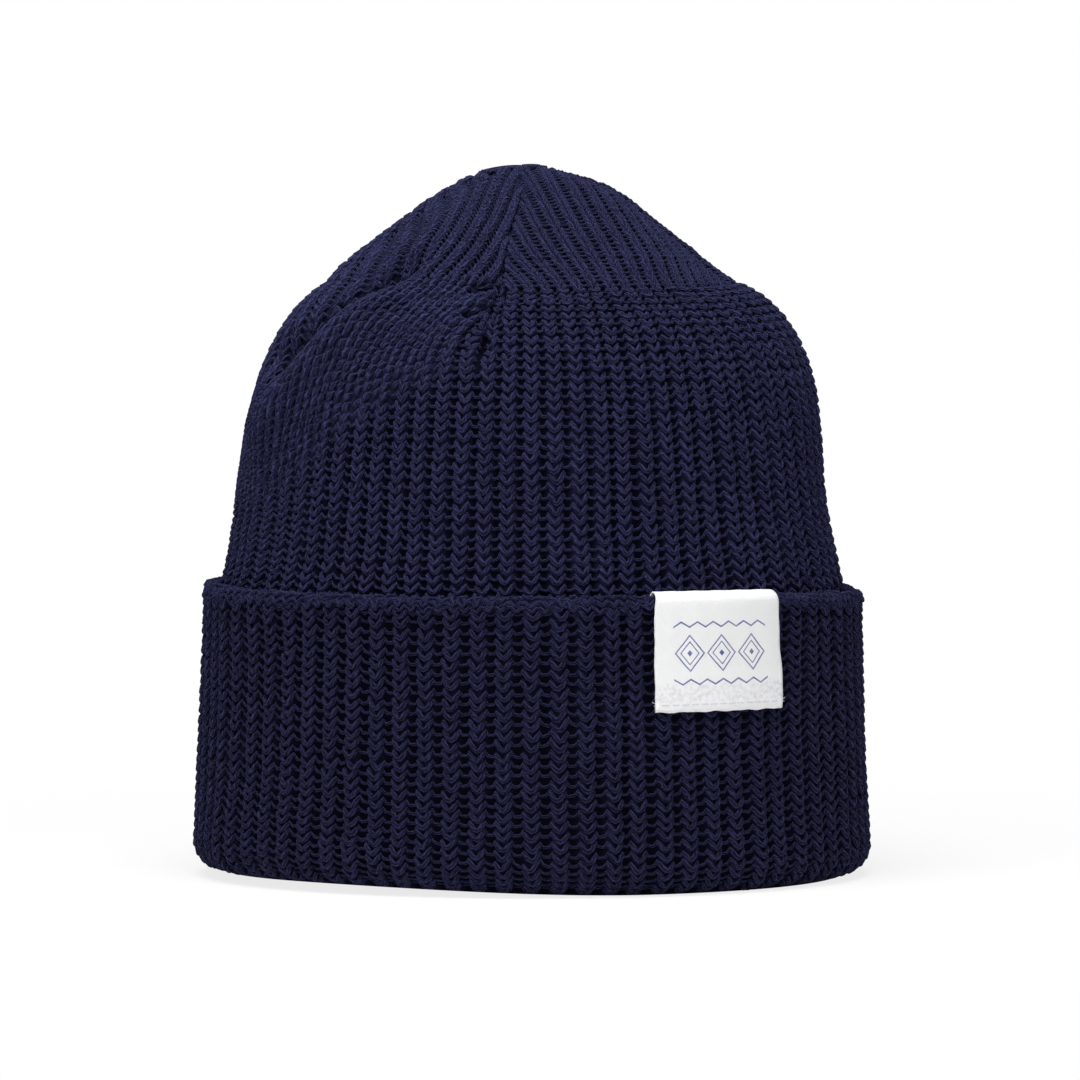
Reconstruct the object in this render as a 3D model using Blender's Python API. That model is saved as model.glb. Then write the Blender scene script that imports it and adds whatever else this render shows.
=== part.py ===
"""Ribbed knit beanie with a turned-up cuff.

An oval ribbed body closes in a crown of four gores, whose ribs run parallel to each gore's middle
and meet along four linked seams. The cuff is the lower end of the knit, turned up outside the body
over a round fold, with a woven label folded over its edge and sewn through. The hat stands on the
floor at z = 0 with its front towards -Y and the wearer's left towards +X.
"""

import math

import bmesh
import bpy
import numpy as np

# Driving dimensions, in metres
HALF_WIDTH = 0.0918  # middle to a rib's crest at the side, along the head band
HALF_DEPTH = 0.0735  # middle to a rib's crest at the front, along the head band
HEIGHT = 0.211  # floor to the peak
CROWN_RISE = 0.0353  # line where the gores begin to the peak
CROWN_HALF_WIDTH = 0.061  # middle to a rib's crest at the side, where the gores begin
SIDE_DRAW_IN = 0.0085  # how far the side leans in above the cuff
SIDE_RUN = 0.0355  # height over which it does
SHOULDER_REACH = 0.028  # how far the shoulder stands out past the gores' lower line
SHOULDER_DROP = 0.0135  # how far below that line it does
PEAK_ROUND = 0.0238  # reach of the round at the peak
PEAK_POINT = 0.001  # how far the crown's sides aim below the peak
PEAK_LEAN = -0.003  # sideways lean of the peak
BODY_WALL = 0.003  # thickness of the body and the gores at a rib's crest
CUFF_WALL = 0.0033  # thickness of the cuff at a rib's crest
RIB_RELIEF = 0.0014  # depth of the valley between two ribs
RIBS_PER_GORE = 18
SEAM_SHIFT_RIBS = -2.5  # place of the front seam, counted in ribs from the middle of the front
CUFF_DEPTH = 0.087  # floor to the cuff's edge
CUFF_LIFT = 0.0005  # floor to the underside of the fold
CUFF_FLARE = 0.0027  # how far the fold stands out past the cuff's edge
LIP_CLEARANCE = 0.0004  # between the fold and the body it turns up from
SLIDE_CLEARANCE = 0.0008  # between the body and what lies behind the cuff
TIE_REACH = 0.007  # half the width of the drawn-up end at the peak
TIE_TAIL = 0.0025  # how far it hangs inside the gores
CROWN_SEAM_BEAD = 0.0024  # diameter of the linked seams inside the hat
CUFF_SEAM_BEAD = 0.0018  # diameter of the linked seam behind the cuff
LABEL_WIDTH = 0.041
LABEL_DROP = 0.0337  # cuff's edge to the label's lower edge
LABEL_WALL = 0.0006
LABEL_PLACE = 0.0555  # middle of the front to the middle of the label, along the cuff, at the crests
STITCH_INSET = 0.0022  # label's lower edge to its row of stitches
STITCH_LENGTH = 0.003
STITCH_SWAY = 0.0002  # how far the thread rises in each stitch
STITCH_MARGIN = 0.0012  # side of the label to the row's end
THREAD = 0.0005  # diameter of the sewing thread
CLEARANCE = 0.0003  # between pieces that touch

GORE_NAMES = ("front_right", "back_right", "back_left", "front_left")
SEAM_NAMES = ("front", "right", "back", "left")
BACK_SEAM = SEAM_NAMES.index("back")

NAVY_YARN = (0.021, 0.022, 0.056)
NAVY_SEAM = (0.017, 0.018, 0.047)
WHITE_COTTON = (0.83, 0.84, 0.86)
WHITE_THREAD = (0.72, 0.74, 0.78)

# Values that follow from them
GORES = len(GORE_NAMES)
RIBS = RIBS_PER_GORE * GORES
CROWN_BASE = HEIGHT - CROWN_RISE
DEPTH_SHARE = HALF_DEPTH / HALF_WIDTH
LABEL_STACK = 3 * CLEARANCE + LABEL_WALL + THREAD + STITCH_SWAY
POCKET = max(CLEARANCE + CUFF_SEAM_BEAD, LABEL_STACK) + SLIDE_CLEARANCE
CUFF_OUTSIDE = POCKET + CUFF_WALL
FOLD_OUTSIDE = CUFF_OUTSIDE + CUFF_FLARE
FOLD_RADIUS = FOLD_OUTSIDE - LIP_CLEARANCE
FOLD_TOP = CUFF_LIFT + FOLD_RADIUS
EDGE_MIDDLE = CUFF_DEPTH - CUFF_WALL / 2

# How finely the faces follow the shape
SIDE_STEPS = 6
GORE_STEPS = 6
CUFF_STEPS = 3
FOLD_STEPS = 4
EDGE_STEPS = 3
LABEL_STEPS = 8
SEAM_STEPS = 9
TIE_STEPS = 20
STITCH_POINTS = 4
TUBE_ROUNDNESS = 1
FINE_STEPS = 400
SMOOTH_ANGLE = math.radians(50)
MERGE_DISTANCE = 1e-6


def clear_scene():
    for old in list(bpy.data.objects):
        bpy.data.objects.remove(old)


def make_material(name, colour, roughness):
    material = bpy.data.materials.new(name)
    material.use_nodes = True
    shader = material.node_tree.nodes["Principled BSDF"]
    shader.inputs["Base Color"].default_value = (*colour, 1.0)
    shader.inputs["Roughness"].default_value = roughness
    shader.inputs["Metallic"].default_value = 0.0
    return material


def make_carrier(name):
    """An empty at the hat's axis, which carries the pieces that move together."""
    carrier = bpy.data.objects.new(name, None)
    bpy.context.collection.objects.link(carrier)
    return carrier


# The shape of the knit


def bezier(guides, steps):
    """Points of a Bezier curve, by repeated mixing of neighbouring guide points."""
    share = np.linspace(0.0, 1.0, steps + 1)[:, None, None]
    points = np.repeat(np.array(guides, float)[None], steps + 1, axis=0)
    while points.shape[1] > 1:
        points = points[:, :-1] * (1 - share) + points[:, 1:] * share
    return points[:, 0]


def side_line(steps):
    """The body's side from the floor to where the gores begin, as (half width, height)."""
    shoulder = bezier(
        (
            (HALF_WIDTH, CUFF_DEPTH),
            (HALF_WIDTH - SIDE_DRAW_IN, CUFF_DEPTH + SIDE_RUN),
            (CROWN_HALF_WIDTH + SHOULDER_REACH, CROWN_BASE - SHOULDER_DROP),
            (CROWN_HALF_WIDTH, CROWN_BASE),
        ),
        steps,
    )
    return np.vstack([(HALF_WIDTH, 0.0), shoulder])


def crown_line(steps):
    """The crown's side from where the gores begin to the peak, as (half width, height)."""
    return bezier(
        (
            (CROWN_HALF_WIDTH, CROWN_BASE),
            (PEAK_ROUND, HEIGHT - PEAK_POINT),
            (0.0, HEIGHT),
        ),
        steps,
    )


def outward(line):
    """The direction square to a line at each of its points, pointing out of the hat."""
    along = np.gradient(line, axis=0)
    along[0] = line[1] - line[0]
    along[-1] = line[-1] - line[-2]
    along /= np.linalg.norm(along, axis=1, keepdims=True)
    return np.stack([along[:, 1], -along[:, 0]], axis=1)


FINE_CROWN = crown_line(FINE_STEPS)
FINE_CROWN_OUT = outward(FINE_CROWN)
FINE_LENGTH = np.concatenate(
    [[0.0], np.cumsum(np.linalg.norm(np.diff(FINE_CROWN, axis=0), axis=1))]
)


def side_shape():
    """The body's side line and its outward directions: level by the cuff, the gores' at the top."""
    line = side_line(SIDE_STEPS)
    out = outward(line)
    out[:2] = (1.0, 0.0)
    out[-1] = FINE_CROWN_OUT[0]
    return line, out


def inner_shape():
    """The same with every other point, for the smoother inside of the knit."""
    line, out = side_shape()
    return np.vstack([line[:1], line[1::2]]), np.vstack([out[:1], out[1::2]])


def crown_at(length):
    """Half width, height and outward direction at a length up the crown from its base."""
    columns = (*FINE_CROWN.T, *FINE_CROWN_OUT.T)
    return tuple(np.interp(length, FINE_LENGTH, column) for column in columns)


def crown_length(half_width):
    """The length up the crown at which its half width has shrunk to this."""
    return np.interp(half_width, FINE_CROWN[::-1, 0], FINE_LENGTH[::-1])


FINE_TURN = np.linspace(0.0, 2 * math.pi, 8 * FINE_STEPS + 1)
FINE_STEP = np.hypot(np.diff(np.sin(FINE_TURN)), DEPTH_SHARE * np.diff(np.cos(FINE_TURN)))
FINE_ROUND = np.concatenate([[0.0], np.cumsum(FINE_STEP)])
ROUND_PER_HALF_WIDTH = FINE_ROUND[-1]


def turn_at(ribs):
    """The oval's angle from the front, at a place counted in ribs along its outline."""
    share = np.mod(np.asarray(ribs, float) / RIBS, 1.0)
    return np.interp(share * ROUND_PER_HALF_WIDTH, FINE_ROUND, FINE_TURN)


def place(ribs, half_width, half_depth, height):
    """Points on an oval at these places, leaning with the peak above the gores' lower line."""
    turn = turn_at(ribs)
    rise = np.clip((np.asarray(height) - CROWN_BASE) / CROWN_RISE, 0.0, None)
    x = half_width * np.sin(turn) + PEAK_LEAN * rise**2
    y = -half_depth * np.cos(turn)
    return np.stack(np.broadcast_arrays(x, y, height), axis=-1)


def on_shell(ribs, half_width, height, out_width, out_height, depth):
    """Points this deep under the hat's outside, measured square to its side line."""
    return place(
        ribs,
        half_width - depth * out_width,
        half_width * DEPTH_SHARE - depth * out_width,
        height - depth * out_height,
    )


def beyond_band(ribs, distance, height):
    """Points at a distance outside the head band, where the cuff and its label lie."""
    return place(ribs, HALF_WIDTH + distance, HALF_DEPTH + distance, height)


def valley(ribs):
    """0 on a rib's crest and 1 in the valley half a rib away."""
    return 0.5 - 0.5 * np.cos(2 * math.pi * np.asarray(ribs, float))


# Meshes from grids of points


def finish_mesh(name, bm, material, carrier):
    bmesh.ops.remove_doubles(bm, verts=bm.verts, dist=MERGE_DISTANCE)
    bmesh.ops.recalc_face_normals(bm, faces=bm.faces)
    mesh = bpy.data.meshes.new(name)
    bm.to_mesh(mesh)
    bm.free()
    mesh.materials.append(material)
    mesh.shade_smooth()
    mesh.set_sharp_from_angle(angle=SMOOTH_ANGLE)
    piece = bpy.data.objects.new(name, mesh)
    bpy.context.collection.objects.link(piece)
    piece.parent = carrier
    return piece


def add_grid(bm, points):
    return [[bm.verts.new(point) for point in row] for row in points]


def join_rows(bm, first, second, closed):
    count = len(first)
    for i in range(count if closed else count - 1):
        j = (i + 1) % count
        corners = (first[i], first[j], second[j], second[i])
        bm.faces.new(corners)


def make_ring(name, outlines, material, carrier):
    """A closed outline at each place round the hat, skinned into one ring."""
    bm = bmesh.new()
    rows = add_grid(bm, outlines)
    for i, row in enumerate(rows):
        join_rows(bm, row, rows[(i + 1) % len(rows)], closed=True)
    return finish_mesh(name, bm, material, carrier)


def make_slab(name, outside, inside, material, carrier):
    """Two matching grids of points, skinned and closed along their four borders."""
    bm = bmesh.new()
    outer = add_grid(bm, outside)
    inner = add_grid(bm, inside)
    for i in range(len(outer) - 1):
        join_rows(bm, outer[i], outer[i + 1], closed=False)
        join_rows(bm, inner[i], inner[i + 1], closed=False)
    for end in (0, -1):
        join_rows(bm, outer[end], inner[end], closed=False)
        side_out = [row[end] for row in outer]
        side_in = [row[end] for row in inner]
        join_rows(bm, side_out, side_in, closed=False)
    bmesh.ops.remove_doubles(bm, verts=bm.verts, dist=MERGE_DISTANCE)
    bmesh.ops.dissolve_degenerate(bm, edges=bm.edges, dist=MERGE_DISTANCE)
    return finish_mesh(name, bm, material, carrier)


def make_plug(name, rings, tips, material, carrier):
    """Rings of points from top to bottom, skinned and closed by a tip at each end."""
    bm = bmesh.new()
    rows = add_grid(bm, rings)
    for first, second in zip(rows, rows[1:]):
        join_rows(bm, first, second, closed=True)
    for tip, row in zip(tips, (rows[0], rows[-1])):
        middle = bm.verts.new(tip)
        for i, corner in enumerate(row):
            bm.faces.new((corner, row[(i + 1) % len(row)], middle))
    return finish_mesh(name, bm, material, carrier)


def make_tube(name, points, diameter, material, carrier):
    """A round yarn along a row of points, closed at both ends."""
    curve = bpy.data.curves.new(name, "CURVE")
    curve.dimensions = "3D"
    curve.bevel_depth = diameter / 2
    curve.bevel_resolution = TUBE_ROUNDNESS
    curve.use_fill_caps = True
    spline = curve.splines.new("POLY")
    spline.points.add(len(points) - 1)
    for target, point in zip(spline.points, points):
        target.co = (*point, 1.0)
    curve.materials.append(material)
    piece = bpy.data.objects.new(name, curve)
    bpy.context.collection.objects.link(piece)
    piece.parent = carrier
    return piece


# The hat


def make_body(material, carrier):
    """The ribbed tube from the floor to the gores, with its inner layer behind the cuff."""
    line, out = side_shape()
    places = np.arange(2 * RIBS)[:, None] / 2
    outside = on_shell(places, *line.T, *out.T, RIB_RELIEF * valley(places))
    line, out = inner_shape()
    inside = on_shell(places, *line.T, *out.T, BODY_WALL)
    outlines = np.concatenate([outside, inside[:, ::-1]], axis=1)
    make_ring("body_panel", outlines, material, carrier)


def make_gore(name, seam_ribs, material, carrier):
    """One quarter of the crown, whose ribs keep their spacing and run out at the seams."""
    base = CLEARANCE
    base_width = crown_at(base)[0]
    round_at_base = ROUND_PER_HALF_WIDTH * base_width
    rib_pitch = round_at_base / RIBS
    half_gore = round_at_base / GORES / 2
    counts = np.arange(-RIBS_PER_GORE, RIBS_PER_GORE + 1)
    offset = np.clip(counts / 2 * rib_pitch, CLEARANCE / 2 - half_gore, half_gore - CLEARANCE / 2)
    seam_width = base_width * (np.abs(offset) + CLEARANCE / 2) / half_gore
    top = crown_length(np.maximum(seam_width, TIE_REACH))
    rows = np.linspace(0.0, 1.0, GORE_STEPS + 1)[:, None]
    length = base + (top - base) * rows
    half_width, height, out_width, out_height = crown_at(length)
    middle = seam_ribs + RIBS_PER_GORE / 2
    places = middle + offset / rib_pitch * base_width / half_width
    relief = RIB_RELIEF * valley(middle + counts / 2)
    shape = (places, half_width, height, out_width, out_height)
    outside = on_shell(*shape, relief)
    inside = on_shell(*shape, BODY_WALL)
    make_slab("crown_gore_" + name, outside, inside, material, carrier)


def make_crown_tie(material, carrier):
    """The drawn-up end of the knitting yarn, which closes the gores at the peak."""
    rim = crown_length(TIE_REACH) + CLEARANCE
    peak = FINE_LENGTH[-1]
    places = np.arange(TIE_STEPS) * RIBS / TIE_STEPS
    shape = crown_at(np.array([peak - (peak - rim) / 2, rim, rim, rim]))
    depth = np.array([0.0, 0.0, BODY_WALL, BODY_WALL + TIE_TAIL])
    rings = [on_shell(places, *level) for level in zip(*shape, depth)]
    tips = (place(0.0, 0.0, 0.0, HEIGHT), np.mean(rings[-1], axis=0))
    make_plug("crown_tie", rings, tips, material, carrier)


def make_crown_seam(name, seam_ribs, material, carrier):
    """The linked edges of two gores, which lie as a ridge inside the crown."""
    depth = BODY_WALL + CLEARANCE + CROWN_SEAM_BEAD / 2
    first = CLEARANCE + CROWN_SEAM_BEAD / 4
    last = crown_length(TIE_REACH + CROWN_SEAM_BEAD)
    shape = crown_at(np.linspace(first, last, SEAM_STEPS))
    points = on_shell(seam_ribs, *shape, depth)
    make_tube("crown_seam_" + name, points, CROWN_SEAM_BEAD, material, carrier)


def make_back_seam(seam_ribs, material, carrier):
    """The linked sides of the knitted panel, a ridge up the inside of the back."""
    depth = BODY_WALL + CLEARANCE + CROWN_SEAM_BEAD / 2
    line, out = inner_shape()
    line[0, 1] = CROWN_SEAM_BEAD
    points = on_shell(seam_ribs, *line.T, *out.T, depth)
    make_tube("back_seam", points, CROWN_SEAM_BEAD, material, carrier)


# The cuff


def flare_at(height):
    """How far the cuff stands out at a height, easing from its fold to its edge."""
    share = np.clip((EDGE_MIDDLE - height) / (EDGE_MIDDLE - FOLD_TOP), 0.0, None)
    return CUFF_FLARE * share**2


def arc(middle, radius, first, last, steps):
    """Points on a round, from one angle to another in degrees, as (distance, height)."""
    angle = np.radians(np.linspace(first, last, steps + 1))
    return np.stack([middle[0] + radius * np.cos(angle), middle[1] + radius * np.sin(angle)], axis=1)


def make_cuff(material, carrier):
    """The turned-up end: a round fold at the floor, a ribbed wall and a soft upper edge."""
    fold = (LIP_CLEARANCE, FOLD_TOP)
    edge = (POCKET + CUFF_WALL / 2, EDGE_MIDDLE)
    heights = np.linspace(FOLD_TOP, EDGE_MIDDLE, CUFF_STEPS + 1)[1:-1]
    fold_out = arc(fold, FOLD_RADIUS, -90, 0, FOLD_STEPS)
    wall_out = np.stack([CUFF_OUTSIDE + flare_at(heights), heights], axis=1)
    edge_over = arc(edge, CUFF_WALL / 2, 0, 180, EDGE_STEPS)
    wall_in = np.stack([POCKET + flare_at(heights), heights], axis=1)[::-1]
    fold_in = arc(fold, FOLD_RADIUS - CUFF_WALL, 0, -90, FOLD_STEPS - 1)
    outline = np.vstack([fold_out, wall_out, edge_over, wall_in, fold_in])
    # Ribs start at the fold's lip, run up the wall and end under the soft edge
    strength = np.zeros(len(outline))
    strength[: FOLD_STEPS + 1] = np.linspace(0.0, 1.0, FOLD_STEPS + 1)
    strength[FOLD_STEPS + 1 : FOLD_STEPS + 1 + len(wall_out)] = 1.0
    angle = np.radians(np.linspace(-90, 0, FOLD_STEPS + 1))
    inwards = np.tile((-1.0, 0.0), (len(outline), 1))
    inwards[: FOLD_STEPS + 1] = -np.stack([np.cos(angle), np.sin(angle)], axis=1)
    places = np.arange(2 * RIBS)[:, None] / 2
    depth = RIB_RELIEF * valley(places) * strength
    distance = outline[:, 0] + depth * inwards[:, 0]
    height = outline[:, 1] + depth * inwards[:, 1]
    make_ring("cuff_panel", beyond_band(places, distance, height), material, carrier)


def make_cuff_seam(seam_ribs, material, carrier):
    """The linked sides of the cuff, a ridge hidden between it and the body."""
    heights = np.linspace(FOLD_TOP, EDGE_MIDDLE, CUFF_STEPS + 1)
    distance = POCKET + flare_at(heights) - CLEARANCE - CUFF_SEAM_BEAD / 2
    points = beyond_band(seam_ribs, distance, heights)
    make_tube("cuff_seam", points, CUFF_SEAM_BEAD, material, carrier)


def label_ribs(distance_from_middle):
    """Places on the label, counted in ribs, from lengths along the cuff's outside."""
    round_outside = ROUND_PER_HALF_WIDTH * (HALF_WIDTH + CUFF_OUTSIDE)
    return (LABEL_PLACE + distance_from_middle) / round_outside * RIBS


def make_label(material, carrier):
    """A strip of woven tape, folded over the cuff's edge and down both of its sides."""
    heights = np.linspace(CUFF_DEPTH - LABEL_DROP, EDGE_MIDDLE, EDGE_STEPS + 1)[:-1]
    edge = (POCKET + CUFF_WALL / 2, EDGE_MIDDLE)
    flare = flare_at(heights)

    def strip(gap):
        front = np.stack([CUFF_OUTSIDE + flare + gap, heights], axis=1)
        over = arc(edge, CUFF_WALL / 2 + gap, 0, 180, 2 * EDGE_STEPS)
        back = np.stack([POCKET + flare - gap, heights], axis=1)[::-1]
        return np.vstack([front, over, back])

    across = np.linspace(-LABEL_WIDTH / 2, LABEL_WIDTH / 2, LABEL_STEPS + 1)
    places = label_ribs(across)[:, None]
    outside = beyond_band(places, *strip(CLEARANCE + LABEL_WALL).T)
    inside = beyond_band(places, *strip(CLEARANCE).T)
    make_slab("label", outside, inside, material, carrier)


def make_label_threads(material, carrier):
    """The two threads of the lockstitch row, one on the label's front and one behind it."""
    row = LABEL_WIDTH / 2 - STITCH_MARGIN
    stitches = max(1, round(2 * row / STITCH_LENGTH))
    count = stitches * STITCH_POINTS + 1
    places = label_ribs(np.linspace(-row, row, count))
    sway = STITCH_SWAY * np.sin(np.linspace(0, math.pi * stitches, count)) ** 2
    height = np.full(count, CUFF_DEPTH - LABEL_DROP + STITCH_INSET)
    stand_off = 2 * CLEARANCE + LABEL_WALL + THREAD / 2 + sway
    front = beyond_band(places, CUFF_OUTSIDE + flare_at(height) + stand_off, height)
    back = beyond_band(places, POCKET + flare_at(height) - stand_off, height)
    make_tube("label_needle_thread", front, THREAD, material, carrier)
    make_tube("label_bobbin_thread", back, THREAD, material, carrier)


def main():
    clear_scene()
    yarn = make_material("navy_yarn", NAVY_YARN, 0.9)
    seam_yarn = make_material("navy_seam", NAVY_SEAM, 0.92)
    cotton = make_material("white_cotton", WHITE_COTTON, 0.85)
    thread = make_material("white_thread", WHITE_THREAD, 0.6)
    hat = make_carrier("hat")
    cuff = make_carrier("cuff")

    seams = [SEAM_SHIFT_RIBS + i * RIBS_PER_GORE for i in range(GORES)]
    make_body(yarn, hat)
    for name, seam in zip(GORE_NAMES, seams):
        make_gore(name, seam, yarn, hat)
    for name, seam in zip(SEAM_NAMES, seams):
        make_crown_seam(name, seam, seam_yarn, hat)
    make_back_seam(seams[BACK_SEAM], seam_yarn, hat)
    make_crown_tie(seam_yarn, hat)

    make_cuff(yarn, cuff)
    make_cuff_seam(seams[BACK_SEAM], seam_yarn, cuff)
    make_label(cotton, cuff)
    make_label_threads(thread, cuff)


main()
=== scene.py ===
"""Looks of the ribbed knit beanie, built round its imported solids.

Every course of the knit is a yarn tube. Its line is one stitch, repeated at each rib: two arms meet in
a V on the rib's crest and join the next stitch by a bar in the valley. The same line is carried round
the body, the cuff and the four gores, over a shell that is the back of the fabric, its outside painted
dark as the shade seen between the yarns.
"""

import math

import bpy
import numpy as np
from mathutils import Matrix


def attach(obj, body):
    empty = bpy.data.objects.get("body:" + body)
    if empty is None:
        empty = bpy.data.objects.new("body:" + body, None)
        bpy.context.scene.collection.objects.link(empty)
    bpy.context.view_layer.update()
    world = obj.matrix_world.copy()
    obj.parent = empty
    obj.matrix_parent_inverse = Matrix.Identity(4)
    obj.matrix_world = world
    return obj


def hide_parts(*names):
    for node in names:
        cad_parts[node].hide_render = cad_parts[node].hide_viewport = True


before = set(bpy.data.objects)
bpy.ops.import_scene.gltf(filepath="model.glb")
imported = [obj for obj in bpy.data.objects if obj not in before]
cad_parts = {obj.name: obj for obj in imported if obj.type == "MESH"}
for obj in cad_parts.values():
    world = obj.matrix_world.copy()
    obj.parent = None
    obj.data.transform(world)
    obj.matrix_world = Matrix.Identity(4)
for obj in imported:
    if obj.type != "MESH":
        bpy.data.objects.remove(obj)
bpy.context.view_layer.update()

# Sizes of the hat, in metres, as the solids have them
HALF_WIDTH = 0.0918
HALF_DEPTH = 0.0735
HEIGHT = 0.211
CROWN_RISE = 0.0353
CROWN_HALF_WIDTH = 0.061
SIDE_DRAW_IN = 0.0085
SIDE_RUN = 0.0355
SHOULDER_REACH = 0.028
SHOULDER_DROP = 0.0135
PEAK_ROUND = 0.0238
PEAK_POINT = 0.001
PEAK_LEAN = -0.003
BODY_WALL = 0.003
CUFF_WALL = 0.0033
RIBS_PER_GORE = 18
SEAM_SHIFT_RIBS = -2.5
CUFF_DEPTH = 0.087
CUFF_LIFT = 0.0005
CUFF_FLARE = 0.0027
POCKET = 0.003
LIP_CLEARANCE = 0.0004
TIE_REACH = 0.007
CROWN_SEAM_BEAD = 0.0024
CUFF_SEAM_BEAD = 0.0018
LABEL_WIDTH = 0.041
LABEL_DROP = 0.0337
LABEL_WALL = 0.0006
LABEL_PLACE = 0.0555
LABEL_SHIFT = 0.0012  # of its stitches, as the tape hangs a little askew
STITCH_INSET = 0.0022
STITCH_LENGTH = 0.003
STITCH_MARGIN = 0.0012
THREAD = 0.0005
CLEARANCE = 0.0003

GORE_NAMES = ("front_right", "back_right", "back_left", "front_left")
SEAM_NAMES = ("front", "right", "back", "left")
RIBS = len(GORE_NAMES) * RIBS_PER_GORE
CROWN_BASE = HEIGHT - CROWN_RISE
DEPTH_SHARE = HALF_DEPTH / HALF_WIDTH
CUFF_OUTSIDE = POCKET + CUFF_WALL
FOLD_RADIUS = CUFF_OUTSIDE + CUFF_FLARE - LIP_CLEARANCE
FOLD_TOP = CUFF_LIFT + FOLD_RADIUS
EDGE_MIDDLE = CUFF_DEPTH - CUFF_WALL / 2
BACK_SEAM_RIBS = SEAM_SHIFT_RIBS + 2 * RIBS_PER_GORE

# Sizes of the knit, in metres
BODY_ROW = 0.00295
CROWN_ROW = 0.0018
EDGE_ROW = 0.0014
EDGE_BAND = 0.0022  # of the cuff's side that has the edge's small stitches
EDGE_LOOSE = 3.5  # unevenness of those, to the rest
EDGE_TURN_IN = 0.004
BODY_START = 0.0010
GATHERS = 24  # at the peak
SHELL_DEPTH = 0.0026  # of the fabric behind the yarns
CROWN_SHELL_DEPTH = 0.0022
SLACK_SHELL_DEPTH = 0.0015
FOOT_SHELL_DEPTH = 0.0003
EDGE_SHELL_DEPTHS = (0.0011, 0.0014)  # outside and inside
BODY_YARN = 1.09  # thickness of the body's yarn, to its stitch
CUFF_YARN = 1.12  # the same for the cuff, which lies closer together
STRIPS = 4  # strips of the texture map to a course
MM = 0.001  # a millimetre


def whole_stitch(*left_half):
    """A stitch from its left half: the points between its ends come again right of the crest."""
    left = np.array(left_half)
    return np.concatenate([left, left[-2:0:-1] * (-1.0, 1.0, 1.0, 1.0)])


# One stitch, from the middle of one bar to the next: place along the rib's width, rise in rows,
# depth under the crest and yarn radius in millimetres
BODY_STITCH = whole_stitch(
    (-0.500, 0.14, 1.70, 0.46),
    (-0.400, 0.13, 1.78, 0.46),
    (-0.325, 0.30, 1.86, 0.50),
    (-0.275, 0.58, 1.36, 0.62),
    (-0.222, 0.26, 0.88, 0.75),
    (-0.115, -0.18, 0.64, 0.79),
    (0.000, -0.35, 0.68, 0.77),
)
SLACK_STITCH = np.array(
    [
        (-0.500, 0.10, 1.20, 0.78),
        (-0.410, 0.42, 0.70, 1.02),
        (-0.330, 0.74, 0.70, 1.02),
        (-0.250, 0.96, 1.30, 0.74),
        (-0.180, 0.45, 2.00, 0.54),
        (-0.080, -0.20, 1.90, 0.54),
        (0.000, -0.42, 1.25, 0.76),
        (0.090, -0.08, 0.68, 1.03),
        (0.170, 0.24, 0.68, 1.03),
        (0.250, 0.46, 1.25, 0.74),
        (0.330, 0.24, 2.00, 0.54),
        (0.420, 0.00, 1.90, 0.54),
    ]
)
EDGE_STITCH = whole_stitch(
    (-0.50, 0.30, 1.00, 0.50),
    (-0.32, 0.50, 0.95, 0.50),
    (-0.16, -0.10, 0.50, 0.60),
    (0.00, -0.50, 0.50, 0.60),
)
LADDER_STITCH = whole_stitch(
    (-0.50, 0.30, 1.00, 0.50),
    (-0.38, 0.40, 1.15, 0.50),
    (-0.26, 0.62, 0.94, 0.64),
    (-0.19, 0.10, 0.66, 0.76),
    (-0.13, -0.55, 0.80, 0.71),
    (0.00, -0.85, 1.40, 0.54),
)
CORD_STITCH = whole_stitch(
    (-0.50, 0.34, 1.95, 0.46),
    (-0.39, 0.46, 1.80, 0.50),
    (-0.27, 0.82, 1.15, 0.70),
    (-0.18, 0.35, 0.64, 0.92),
    (-0.08, -0.40, 0.46, 0.96),
    (0.00, -0.74, 0.85, 0.82),
)
ROUND_SIDES = 5
OPEN_SIDES = 6

# Unevenness of the knitting, by stitch and by rib
UNEVEN_SEED = 11
UNEVEN_RISE = 0.06  # of a row
UNEVEN_SKEW = 0.09  # of a row
UNEVEN_DEPTH = 0.08  # in millimetres
UNEVEN_PLACE = 0.028  # of a rib
RIB_DEPTH = 0.12  # in millimetres
RIB_PLACE = 0.05  # of a rib

# The dart under the front seam and the lie of the gores
DART_REACH = 0.024
DART_SPREAD = 0.0022  # further down, for each rib away
DART_SPREAD_RIBS = 10.0
DART_SWALLOW = (2.4, 0.7)  # ribs, left and right of it
DART_WING = (12.0, 6.0)  # ribs
DART_LENGTH = 30.0  # in millimetres
DART_TUCKS = ((2.0, 1.6, 1.8), (10.5, 2.2, 1.9))  # millimetres down, more for each rib left, spread
DART_HOLE = (22.0, 5.0, -0.35, 0.36)  # millimetres down and spread, ribs away and spread
TUCK_DEPTH = 1.4  # to the groove's
TUCK_OPEN = 0.6  # share of a tuck where the yarns break off
GROOVE = 0.0032
GROOVE_RIBS = 0.34
GROOVE_FADE = 0.035
PULL_FADE = 0.062  # above the dart, along the knit
LEAST_GAP = 0.12  # of its distance from the dart that a rib keeps
SWALLOW_DEPTH = 0.003
DART_GAP = 0.06  # ribs, from the seam to where the yarns end
SEAM_STEP = 0.6  # ribs that the front seam is drawn to the right at its foot
SEAM_STEP_RIBS = 5.0
SEAM_STEP_RUN = 0.014
CROWN_TWIST = 2.5  # ribs, from the base to the peak
# Of each gore: the face its ribs lean from, how far in ribs, and how much they widen above their foot
GORE_LIE = ((0, 4.0, 0.11), (36, -5.0, 0.11), (36, 5.0, -0.08), (72, -7.5, -0.08))
GORE_LEAN_POWER = 0.65
GORE_WIDEN_RUN = 0.016
GORE_FOOT_SINK = 0.0009
GORE_FULLNESS = 0.16  # thicker yarn where the knit has slumped

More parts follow.
